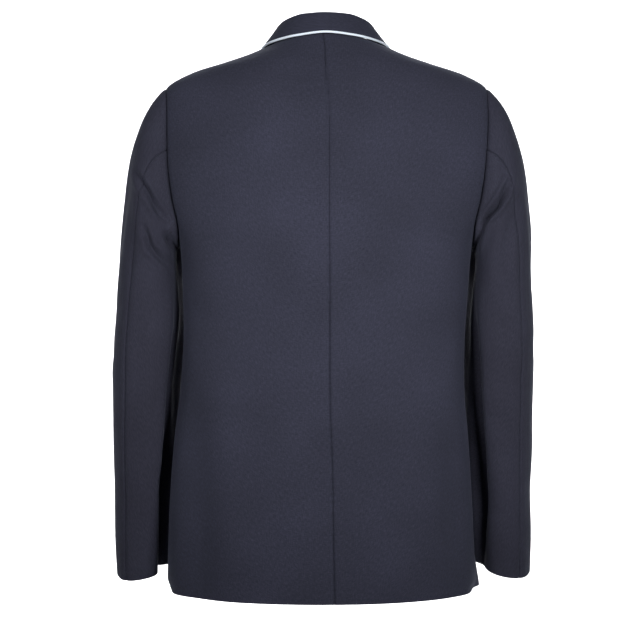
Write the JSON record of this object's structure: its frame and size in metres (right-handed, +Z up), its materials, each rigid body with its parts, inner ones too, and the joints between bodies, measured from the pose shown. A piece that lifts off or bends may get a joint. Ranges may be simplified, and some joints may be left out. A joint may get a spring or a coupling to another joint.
{
  "type": "school blazer",
  "caption": "Single-breasted school blazer held out as worn: notch lapels, piped collar, two-piece sleeves, plain hem, open at neck, front, hem and cuffs.",
  "frame": {"origin": "centre of the neckline, level with the points where the shoulder seams meet it", "axes": "+Z up, the wearer faces -Y, +X is the wearer's left"},
  "size_m": [0.5495, 0.266, 0.7427],
  "materials": {
    "navy_cloth": "matt plain-weave suiting",
    "ice_blue_piping": "matt corded piping",
    "navy_button": "satin moulded plastic"
  },
  "bodies": {
    "root": {"back_left": "navy_cloth", "back_right": "navy_cloth", "front_left": "navy_cloth", "front_right": "navy_cloth", "lapel_left": "navy_cloth", "lapel_right": "navy_cloth", "collar": "navy_cloth", "sleeve_top_left": "navy_cloth", "sleeve_top_right": "navy_cloth", "sleeve_under_left": "navy_cloth", "sleeve_under_right": "navy_cloth", "collar_piping": "ice_blue_piping", "button_upper": "navy_button", "button_lower": "navy_button"}
  },
  "joints": []
}
